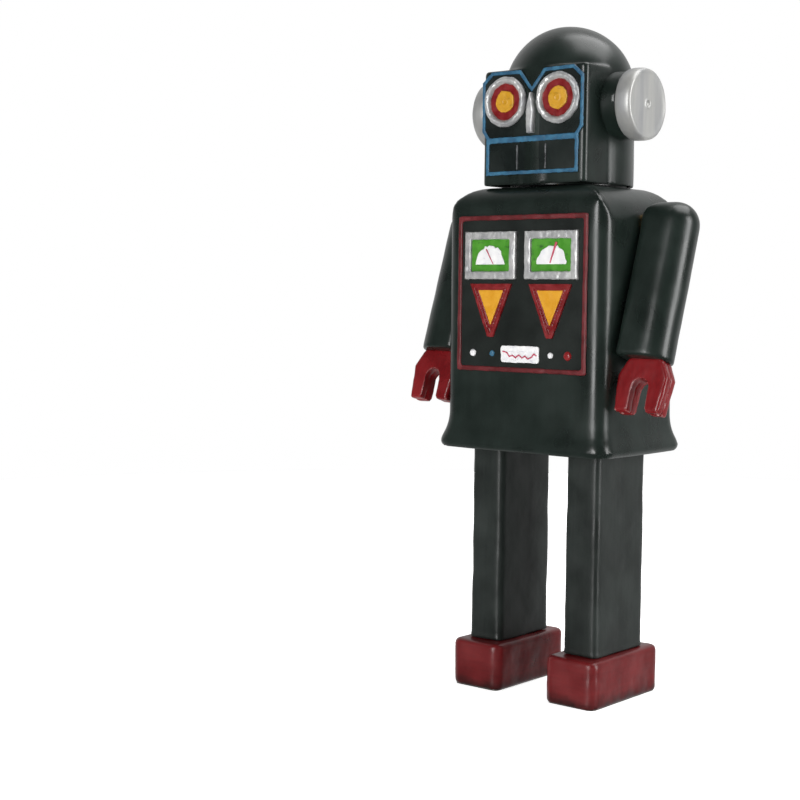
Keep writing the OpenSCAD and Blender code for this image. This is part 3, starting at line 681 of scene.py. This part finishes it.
def makeEyes():
    ringLow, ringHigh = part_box("eye_ring_left")
    middleZ = (ringLow.z + ringHigh.z) / 2
    base = ringHigh.y
    profile = ((-0.2, 8.8), (0.8, 8.95), (1.4, 8.6), (1.85, 7.9), (1.75, 7.2), (1.2, 6.65), (0.4, 6.3),
               (-0.2, 6.3), (-0.2, 8.8))
    for side, way in sides.items():
        centre = Vector((way * face["eyeAcross"] * mm, 0, middleZ))
        rim = lathe([(base - d * mm, r * mm) for d, r in profile], centre, "Y", steps=72)
        soften(rim, 0.28 * mm, 2)
        wobble(rim, 2.6 * mm, 0.26 * mm)
        wobble(rim, 1.1 * mm, 0.1 * mm)
        finish(rim, "eyeRing" + side.title(), "head", "silver_finish", ["eye_ring_" + side])
    reds, yellows = [], []
    for way in (1, -1):
        centre = (way * face["eyeAcross"] * mm, middleZ)
        reds.append(plate(dab(centre, 13.2 * mm, 13.2 * mm, 0.02, 36), base + 0.2 * mm, base - 0.6 * mm))
        yellows.append(plate(dab(centre, 7.9 * mm, 8.0 * mm, 0.07, 13), base - 0.3 * mm, base - 1.1 * mm))
        pip = ((0.9, 0.85), (1.25, 0.95), (1.25, 1.2), (0.9, 1.35))
        mark = lathe([(base - d * mm, r * mm) for d, r in pip], Vector((centre[0], 0, centre[1])), "Y",
                     steps=32)
        yellows.append(mark)
    red = soften(join(*reds), 0.22 * mm, 3)
    wobble(red, 3 * mm, 0.15 * mm)
    finish(red, "eyeReflectors", "head", "reflector_red", ["eye_reflectors"])
    yellow = soften(join(*yellows), 0.2 * mm, 3)
    wobble(yellow, 2 * mm, 0.1 * mm)
    finish(yellow, "eyeLamps", "head", "lamp_yellow", ["eye_lamps"])


def makeNose():
    low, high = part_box("nose")
    side = ((1.45, 0), (1.7, 7.5), (1.35, 10.5), (0.35, 14.1))
    up = [(-1.45 * mm, low.z)] + [(x * mm, low.z + z * mm) for x, z in side]
    up += [(-x * mm, low.z + z * mm) for x, z in reversed(side[1:])]
    nose = plate(up, high.y + 0.2 * mm, low.y + 0.1 * mm)
    roundEdges(nose, 0.8 * mm, lambda e: middle(e).y < low.y + 0.2 * mm, 4)
    soften(nose, 0.2 * mm, 3)
    wobble(nose, 2 * mm, 0.16 * mm)
    finish(nose, "noseRidge", "head", "silver_finish", ["nose"])


def makeMouth():
    low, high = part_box("mouth_grille")
    base = high.y - 0.35 * mm
    panels = 3
    width = (high.x - low.x) / panels
    slatHigh = (high.z - low.z) / face["slats"]
    parts = [block((low.x - 0.3 * mm, base, low.z - 0.3 * mm),
                   (high.x + 0.3 * mm, high.y + 0.1 * mm, high.z + 0.3 * mm))]
    for panel in range(panels):
        start = low.x + panel * width
        for number in range(face["slats"]):
            z = low.z + number * slatHigh
            lean = random.uniform(-0.08, 0.08) * mm
            slat = block((start + 0.5 * mm, base - 0.16 * mm, z + 0.12 * mm + lean),
                         (start + width - 0.5 * mm, base + 0.1 * mm, z + slatHigh - 0.12 * mm + lean))
            roundEdges(slat, 0.1 * mm, lambda e: middle(e).y < base - 0.1 * mm, 2)
            parts.append(slat)
    finish(join(*parts), "mouthGrille", "head", "grille_black", ["mouth_grille"])
    bars = []
    for number in (1, 2):
        x = low.x + number * width
        bars.append(block((x - 0.32 * mm, base - 0.55 * mm, low.z + 0.3 * mm),
                          (x + 0.32 * mm, base + 0.1 * mm, high.z - 0.3 * mm)))
    bar = soften(join(*bars), 0.15 * mm, 2)
    wobble(bar, 1.5 * mm, 0.14 * mm)
    finish(bar, "mouthBars", "head", "silver_finish", look="rubbed_bar")


makeMask()
makeEyes()
makeNose()
makeMouth()
print("face ready")


# chest: panel with a raised red line, two gauges, two lamps, a trace screen and small lights

chest = {"line": 1.75, "bezel": 2.75, "truncate": 1.3, "lampDrop": 20.2, "lampHalf": 9}
panelLow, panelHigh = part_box("chest_panel")
panelFront = panelLow.y


def makePanel():
    size = panelHigh - panelLow
    centre = ((panelLow.x + panelHigh.x) / 2, (panelLow.z + panelHigh.z) / 2)
    panel = block((panelLow.x, panelFront, panelLow.z), (panelHigh.x, panelHigh.y + 1.2 * mm, panelHigh.z))
    roundEdges(panel, 1.2 * mm, lambda e: along(e, 1), 4)
    finish(panel, "chestPanel", "torso", "panel_enamel", ["chest_panel"])
    line = ring(rectangle(centre, size.x, size.z), chest["line"] * mm,
                panelFront + 0.4 * mm, panelFront - 0.45 * mm)
    roundEdges(line, 0.8 * mm, lambda e: along(e, 1), 3)
    soften(line, 0.26 * mm, 5)
    wobble(line, 4 * mm, 0.16 * mm)
    finish(line, "chestLine", "torso", "frame_red", look="line_red")


def makeGauges():
    greens, fans, needles = [], [], []
    tips = {"left": ((-0.4, 2.0), (2.2, 9.2), 0.42), "right": ((1.3, 1.6), (-1.9, 7.0), 0.24)}
    for side, way in sides.items():
        low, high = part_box("gauge_bezel_" + side)
        width, height = high.x - low.x, high.z - low.z
        centre = ((low.x + high.x) / 2, (low.z + high.z) / 2)
        bezel = ring(rectangle(centre, width, height), chest["bezel"] * mm, panelFront + 0.3 * mm, low.y)
        roundEdges(bezel, 0.3 * mm, lambda e: middle(e).y < low.y + 0.1 * mm, 2)
        soften(bezel, 0.26 * mm, 2)
        wobble(bezel, 3 * mm, 0.2 * mm)
        wobble(bezel, 1.2 * mm, 0.08 * mm)
        finish(bezel, "gaugeBezel" + side.title(), "torso", "silver_finish", ["gauge_bezel_" + side])
        inner = (width - 2 * chest["bezel"] * mm, height - 2 * chest["bezel"] * mm)
        greens.append(plate(rectangle(centre, inner[0] + 0.6 * mm, inner[1] + 0.6 * mm),
                            panelFront + 0.1 * mm, panelFront - 0.3 * mm))
        fanBase = (centre[0] + 0.2 * mm * way, low.z + 5.2 * mm)
        fans.append(plate(dab(fanBase, 12.4 * mm, 6.6 * mm, 0.06, 22, arc=180),
                          panelFront - 0.2 * mm, panelFront - 0.55 * mm))
        start, end, thick = tips[side]
        bottom = Vector((centre[0] + start[0] * mm, 0, low.z + (start[1] + 3.6) * mm))
        top = Vector((centre[0] + end[0] * mm, 0, low.z + (end[1] + 3.6) * mm))
        across = (top - bottom).normalized().cross(Vector((0, 1, 0))) * thick * mm
        corners = [bottom - across * 0.5, bottom + across * 0.5, top + across * 1.1, top - across * 1.1]
        needles.append(plate([(c.x, c.z) for c in corners], panelFront - 0.5 * mm, panelFront - 0.78 * mm))
    finish(join(*greens), "gaugeDials", "torso", "dial_green", ["gauge_dials"])
    fan = soften(join(*fans), 0.16 * mm, 2)
    finish(fan, "gaugeFans", "torso", "white_enamel")
    needle = soften(join(*needles), 0.1 * mm, 1)
    finish(needle, "gaugeNeedles", "torso", "signal_red", look="needle_pink")


# the lamp's triangle, point down, drawn in by an inset about the middle of its inner circle
def lampOutline(centre, inset, sharp=False):
    half, drop = chest["lampHalf"] * mm, chest["lampDrop"] * mm
    slope = math.hypot(half, drop)
    inner = half * drop / (half + slope)
    scale = 1 - inset / inner
    points = [(-half, 0), (half, 0)]
    if sharp:
        points.append((0, -drop))
    else:
        nip = chest["truncate"] * mm
        points += [(nip * 0.9, -drop + nip), (-nip * 0.9, -drop + nip)]
    return [(centre[0] + x * scale, centre[1] - inner + (z + inner) * scale) for x, z in points]


def makeLamps():
    lenses = []
    for side, way in sides.items():
        low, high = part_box("lamp_frame_" + side)
        top = ((low.x + high.x) / 2, high.z)
        outer = ring(lampOutline(top, 0), 1.35 * mm, panelFront + 0.3 * mm, low.y + 0.05 * mm)
        inner = ring(lampOutline(top, 1.6 * mm), 0.75 * mm, panelFront + 0.3 * mm, low.y + 0.3 * mm)
        base = plate(lampOutline(top, 0.6 * mm), panelFront + 0.2 * mm, panelFront - 0.25 * mm)
        frameParts = soften(join(outer, inner, base), 0.17 * mm, 4)
        wobble(frameParts, 3 * mm, 0.12 * mm)
        finish(frameParts, "lampFrame" + side.title(), "torso", "frame_red", ["lamp_frame_" + side])
        lens = plate(lampOutline(top, 2.25 * mm, sharp=True), panelFront - 0.1 * mm, panelFront - 0.6 * mm)
        lenses.append(lens)
    lens = soften(join(*lenses), 0.18 * mm, 1)
    wobble(lens, 3 * mm, 0.1 * mm)
    finish(lens, "lampLenses", "torso", "lens_amber", ["lamp_lenses"])


def makeScreen():
    low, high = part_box("trace_screen")
    centre = ((low.x + high.x) / 2, (low.z + high.z) / 2)
    screen = plate(rectangle(centre, high.x - low.x, high.z - low.z), panelFront + 0.2 * mm, low.y)
    roundEdges(screen, 0.9 * mm, lambda e: along(e, 1), 4)
    soften(screen, 0.2 * mm, 3)
    wobble(screen, 2.4 * mm, 0.2 * mm)
    finish(screen, "traceScreen", "torso", "white_enamel", ["trace_screen"])
    path = ((-7.3, 0.9), (-5.4, 0.5), (-4.3, -0.9), (-3.0, -0.4), (-1.6, -1.2), (-0.2, -0.2), (1.2, -1.3),
            (2.4, -0.5), (3.6, -1.5), (5.2, -0.9), (6.2, 0.3), (7.2, -0.3))
    steps = [Vector((centre[0] + x * mm, 0, centre[1] + z * mm)) for x, z in path]
    strokes = []
    for start, end in zip(steps, steps[1:]):
        run = (end - start).normalized()
        across = run.cross(Vector((0, 1, 0))) * 0.24 * mm
        corners = [start - across - run * 0.1 * mm, start + across - run * 0.1 * mm,
                   end + across + run * 0.1 * mm, end - across + run * 0.1 * mm]
        strokes.append(plate([(c.x, c.z) for c in corners], low.y + 0.05 * mm, low.y - 0.22 * mm))
    trace = soften(join(*strokes), 0.09 * mm, 2)
    finish(trace, "screenTrace", "torso", "signal_red", look="needle_pink")


# little domed dabs in the lowest row
def makeLights():
    for node, slot in (("indicator_white", "white_enamel"), ("indicator_blue", "blue_enamel"),
                       ("indicator_red", "signal_red")):
        low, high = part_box(node)
        spots = [((low.x + high.x) / 2, (high.z - low.z) / 2)]
        if node == "indicator_white":        # one at each end of its box, the right one smaller
            spots = [(low.x + 1.3 * mm, 1.3 * mm), (high.x - 1.1 * mm, 1.1 * mm)]
        domes = []
        for x, radius in spots:
            bpy.ops.mesh.primitive_uv_sphere_add(segments=32, ring_count=20, radius=radius,
                                                 location=(x, panelFront, (low.z + high.z) / 2))
            dome = bpy.context.object
            dome.scale.y = 0.55
            domes.append(freeze(dome))
            selectNothing()
        dome = soften(join(*domes), 0.12 * mm, 1)
        wobble(dome, 1.4 * mm, 0.12 * mm)
        finish(dome, {"indicator_white": "whiteLights", "indicator_blue": "blueLight",
                      "indicator_red": "redLight"}[node], "torso", slot, [node])


makePanel()
makeGauges()
makeLamps()
makeScreen()
makeLights()
print("chest ready")


# arms hang from the shoulder pins, leaning forward

arm = {"lean": 18.8, "width": 17.6, "depth": 16.8, "length": 49.1, "seamEdge": 1.5, "wall": 0.8,
       "grain": 0.6, "passes": 6, "innerTop": 6.5}
hand = {
    # half the claw's outline: across, down from the wrist
    "outer": ((5.6, -1.0), (7.2, 0.8), (9.7, 6.0), (9.5, 9.5), (8.6, 18.1), (8.2, 18.5)),
    "gapHalf": 3.3, "gapTop": 6.6, "depth": 6.8, "grain": 0.36,
}


# turned about the shoulder pin from hanging straight down
def hang(piece, side):
    low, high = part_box("shoulder_pin_" + side)
    pivot = Vector((0, (low.y + high.y) / 2, (low.z + high.z) / 2))
    piece.matrix_world = Matrix.Translation(pivot) @ Matrix.Rotation(-math.radians(arm["lean"]), 4, "X")
    return freeze(piece)


def makeArm(side, way):
    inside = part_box("arm_cover_left")[0].x
    width, depth, length = (arm[key] * mm for key in ("width", "depth", "length"))
    half = depth / 2
    bulge = inside + width - half        # the outer side is round, the inner side flat against its cover
    body = block((inside, -half, -length), (bulge, half, 0))
    roundEdges(body, arm["seamEdge"] * mm, lambda e: along(e, 2) and middle(e).x < inside + 0.1 * mm, 4)
    bpy.ops.mesh.primitive_uv_sphere_add(segments=64, ring_count=32, radius=half, location=(bulge, 0, 0))
    crown = freeze(bpy.context.object)
    body = join(body, rod(half, -length, 0, (bulge, 0, 0)), crown, rod(half, inside, bulge, (0, 0, 0), "X"))
    soften(body, arm["grain"] * mm, 2)
    turned = arm["innerTop"] * mm
    roundOff(body, "Y", (inside + turned, 0, half - turned), turned, (-1, 0, 1))
    soften(body, arm["grain"] * mm, arm["passes"])
    if way < 0:
        body = mirrored(body)
    wobble(body, 15 * mm, 0.18 * mm)
    modify(body, "SOLIDIFY", thickness=arm["wall"] * mm, offset=-1)
    pinHole = rod(2.5 * mm, 30 * mm * way, 38 * mm * way, (0, 0, 0), "X") if way > 0 else \
        rod(2.5 * mm, -38 * mm, -30 * mm, (0, 0, 0), "X")
    cut(body, pinHole)
    seam = inside + arm["wall"] * mm
    reach = 100 * mm
    cover = copyOf(body)
    outside = block((min(way * seam, way * reach), -reach, -reach),
                    (max(way * seam, way * reach), reach, reach))
    near = block((min(0, way * seam), -reach, -reach), (max(0, way * seam), reach, reach))
    cut(cover, outside)
    cut(body, near)
    finish(hang(body, side), "armShell" + side.title(), "arm_" + side, "green_enamel", ["arm_shell_" + side])
    finish(hang(cover, side), "armCover" + side.title(), "arm_" + side, "green_enamel", ["arm_cover_" + side])


def mirrored(piece):
    piece.scale.x = -1
    freeze(piece)
    outward(piece)
    return piece


# the claw from the front, with the slot between its fingers round at the top
def clawOutline(shrink):
    gap, top = (hand["gapHalf"] + shrink) * mm, hand["gapTop"] * mm
    right = [((x - shrink) * mm, -(z * mm - (shrink * mm if z > 15 else 0))) for x, z in hand["outer"]]
    right.append((gap + 0.2 * mm, -(18.4 - shrink) * mm))
    bow = [(gap * math.cos(math.radians(turn)), -top - gap + gap * math.sin(math.radians(turn)))
           for turn in range(0, 91, 15)]
    half = right + bow
    return half + [(-x, z) for x, z in reversed(half[:-1])]


def makeHand(side, way):
    middleX = 44.9 * mm
    half = hand["depth"] / 2 * mm
    wrist = -arm["length"] * mm

    def slab(shrink, back, front):
        points = [(middleX + x, wrist + z) for x, z in clawOutline(shrink)]
        return plate(points, back, front)

    frontSlab = slab(0, -0.3 * mm, -half)
    roundEdges(frontSlab, 1.0 * mm, lambda e: abs(middle(e).y + half) < 0.05 * mm, 3)
    backSlab = slab(0, half, 0.3 * mm)
    roundEdges(backSlab, 1.0 * mm, lambda e: abs(middle(e).y - half) < 0.05 * mm, 3)
    claw = join(frontSlab, backSlab, slab(0.7, half - 1 * mm, -half + 1 * mm))
    soften(claw, hand["grain"] * mm, 5)
    if way < 0:
        claw = mirrored(claw)
    wobble(claw, 5 * mm, 0.22 * mm)
    finish(hang(claw, side), "hand" + side.title(), "arm_" + side, "red_enamel", ["hand_" + side])


for side, way in sides.items():
    makeArm(side, way)
    makeHand(side, way)
print("arms ready")


# legs and feet

leg = {"edge": 2.2, "wall": 0.8, "grain": 0.62}
foot = {"corner": 3.6, "top": 1.8, "bottom": 1.3, "wall": 0.8, "grain": 0.55}


def makeLeg(side):
    low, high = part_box("leg_shell_" + side)
    body = block(low, high)
    roundEdges(body, leg["edge"] * mm, lambda e: along(e, 2), 6)
    for height in (1.0, 2.2):
        edit(body)
        bpy.ops.mesh.select_all(action="SELECT")
        bpy.ops.mesh.bisect(plane_co=(0, 0, low.z + height * mm), plane_no=(0, 0, 1))
    for height, out in ((0, 1.05), (1.0, 1.02)):
        edit(body, "VERT")
        pick(body, "verts", lambda v: abs(v.co.z - low.z - height * mm) < 0.01 * mm)
        bpy.ops.transform.resize(value=(out, (1 + out) / 2, 1),
                                 center_override=((low.x + high.x) / 2, 0, low.z))
    soften(body, leg["grain"] * mm, 4)
    wobble(body, 17 * mm, 0.3 * mm)
    wobble(body, 6 * mm, 0.08 * mm)
    edit(body)
    pick(body, "faces", lambda f: abs(f.normal.z) > 0.8 and (middle(f).z > high.z - 1 * mm))
    bpy.ops.mesh.delete(type="FACE")
    modify(body, "SOLIDIFY", thickness=leg["wall"] * mm, offset=-1)
    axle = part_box("hip_axle")
    cut(body, rod(1.6 * mm, low.x - 5 * mm, high.x + 5 * mm, (axle[0] + axle[1]) / 2, "X"))
    finish(body, "legShell" + side.title(), "leg_" + side, "leg_enamel", ["leg_shell_" + side])


def makeFoot(side):
    low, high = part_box("foot_shell_" + side)
    body = block(low, high)
    roundEdges(body, foot["corner"] * mm, lambda e: along(e, 2))
    roundEdges(body, foot["top"] * mm, lambda e: middle(e).z > high.z - 0.05 * mm, 5)
    roundEdges(body, foot["bottom"] * mm, lambda e: middle(e).z < low.z + 0.05 * mm, 4)
    soften(body, foot["grain"] * mm, 4)
    wobble(body, 12 * mm, 0.28 * mm)
    wobble(body, 4 * mm, 0.08 * mm)
    openBelow(body, low.z + 0.6 * mm)
    modify(body, "SOLIDIFY", thickness=foot["wall"] * mm, offset=-1)
    finish(body, "footShell" + side.title(), "leg_" + side, "red_enamel", ["foot_shell_" + side],
           look="foot_enamel")


for side in sides:
    makeLeg(side)
    makeFoot(side)
print("legs ready")


# winding key on the robot's right side

def makeKey():
    low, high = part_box("winding_key")
    centre = (low + high) / 2
    bowX = low.x + 5.2 * mm
    thick = 0.75 * mm
    parts = [rod(5.2 * mm, centre.y - thick, centre.y + thick, (bowX, 0, centre.z + way * 5.4 * mm), "Y")
             for way in (1, -1)]
    parts.append(block((bowX, centre.y - thick, centre.z - 4 * mm),
                       (high.x - 4 * mm, centre.y + thick, centre.z + 4 * mm)))
    hub = ((0, 0), (0, 2.7), (0.5, 3.2), (3, 3.2), (3.4, 2.8), (3.9, 2.8), (4.3, 3.2), (8.2, 3.1),
           (9, 2.4), (9, 0))
    parts.append(lathe([(high.x - d * mm, r * mm) for d, r in hub], centre, "X", steps=48))
    key = soften(join(*parts), 0.3 * mm, 2)
    for way in (1, -1):
        eye = (bowX, 0, centre.z + way * 5.4 * mm)
        cut(key, rod(2.2 * mm, centre.y - 3 * mm, centre.y + 3 * mm, eye, "Y"))
    cut(key, rod(2 * mm, high.x - 8 * mm, high.x + 1 * mm, centre, "X"))
    finish(key, "windingKey", "winder", "plain_steel", ["winding_key"], angle=35)


makeKey()
print("key ready")


# the works and the small fittings keep their own shapes and get their metals

nodeFinishes = {
    "green_enamel": ["neck_tube"],
    "tinplate": ["base_plate", "sole_plate_left", "sole_plate_right"],
    "plain_steel": ["hip_axle", "key_arbor", "click", "crank_shaft", "leg_lever_left", "leg_lever_right",
                    "shoulder_pin_left", "shoulder_pin_right", "governor"],
    "brass": ["great_wheel", "second_wheel", "neck_bush", "shoulder_bushes", "motor_plate_left",
              "motor_plate_right", "motor_pillars"],
    "spring_steel": ["mainspring"],
    "roller_rubber": ["foot_roller_left", "foot_roller_right"],
}
for slot, names in nodeFinishes.items():
    for name in names:
        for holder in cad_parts[name].material_slots:
            holder.material = finishes[slot]
print("works ready")


# floor, lights and camera

# angles in degrees; the lens, on a sensor 36 mm wide, and the distances in millimetres
camera = {"azimuth": 40.16, "pitch": 3.85, "roll": 0.63, "lens": 70.2, "distance": 567.3,
          "aside": 58.148, "down": 14.255, "aim": 120}


# aimed at a point on the figure's axis at the aim height, then slid aside and down without turning,
# which leaves the figure to one side of the picture
def makeCamera():
    turn, tip = math.radians(camera["azimuth"]), math.radians(camera["pitch"])
    right = Vector((math.cos(turn), math.sin(turn), 0))
    ahead = Vector((-math.sin(turn) * math.cos(tip), math.cos(turn) * math.cos(tip), -math.sin(tip)))
    above = right.cross(ahead)
    roll = math.radians(camera["roll"])
    right, above = (right * math.cos(roll) + above * math.sin(roll),
                    above * math.cos(roll) - right * math.sin(roll))
    place = Vector((0, 0, camera["aim"] * mm)) - ahead * camera["distance"] * mm
    place -= (right * camera["aside"] + above * camera["down"]) * mm
    lens = bpy.data.cameras.new("camera")
    lens.sensor_width = 36
    lens.lens = camera["lens"]
    lens.clip_start = 0.01
    viewer = bpy.data.objects.new("camera", lens)
    viewer.matrix_world = Matrix.Translation(place) @ Matrix((right, above, -ahead)).transposed().to_4x4()
    bpy.context.collection.objects.link(viewer)
    bpy.context.scene.camera = viewer


def softbox(name, place, size, power, aim=(0, 0, 0.13)):
    light = bpy.data.lights.new(name, "AREA")
    light.shape = "RECTANGLE"
    light.size, light.size_y = size
    light.energy = power
    lamp = bpy.data.objects.new(name, light)
    lamp.location = place
    lamp.rotation_euler = (Vector(aim) - Vector(place)).to_track_quat("-Z", "Y").to_euler()
    lamp.visible_camera = False
    bpy.context.collection.objects.link(lamp)


# a white backdrop behind the figure, and a dark room in front of it between the softboxes
def makeWorld():
    world = bpy.data.worlds.new("studio")
    world.use_nodes = True
    bpy.context.scene.world = world
    tree = world.node_tree
    tree.nodes.clear()
    turn = math.radians(camera["azimuth"])
    behind = addNode(tree, "ShaderNodeVectorMath", operation="DOT_PRODUCT",
                     links={0: addNode(tree, "ShaderNodeTexCoord").outputs["Generated"]},
                     values={1: (-math.sin(turn), math.cos(turn), 0)}).outputs["Value"]
    mirrored = between(tree, behind, 0.05, 0.6, (0.05, 0.7))
    path = addNode(tree, "ShaderNodeLightPath")
    dim = addNode(tree, "ShaderNodeMix", values={2: 0.18},
                  links={0: path.outputs["Is Glossy Ray"], 3: mirrored})
    strength = calculate(tree, "MAXIMUM", path.outputs["Is Camera Ray"], dim.outputs[0])
    back = addNode(tree, "ShaderNodeBackground", links={"Strength": strength}, values={"Color": (1, 1, 1, 1)})
    addNode(tree, "ShaderNodeOutputWorld", links={"Surface": back.outputs[0]})


def makeFloor():
    bpy.ops.mesh.primitive_circle_add(vertices=96, radius=0.7, fill_type="NGON", location=(0, 0, 0))
    floor = freeze(bpy.context.object)
    floor.name = "floor"
    material, tree, shader, place = startMaterial("matPaintedFloor", Roughness=0.9)
    paper = noise(tree, place, 60)
    tree.links.new(blendColour(tree, paper, "f1f1f1", "f6f6f6"), shader.inputs["Base Color"])
    away = addNode(tree, "ShaderNodeVectorMath", operation="LENGTH", links={0: place}).outputs["Value"]
    shader.inputs["Emission Color"].default_value = (1, 1, 1, 1)
    tree.links.new(between(tree, away, 0.08, 0.4, (0.75, 1)), shader.inputs["Emission Strength"])
    floor.data.materials.append(material)
    floor.visible_glossy = False


makeCamera()
makeWorld()
makeFloor()
softbox("frontLeft", (0.05, -1.25, 0.35), (0.4, 0.9), 12)
softbox("sideRight", (1.2, 0.3, 0.4), (0.42, 1.1), 12)
softbox("overhead", (0.25, 0.35, 1.2), (0.9, 0.9), 9)
bpy.context.scene.view_settings.view_transform = "Standard"
print("studio ready")
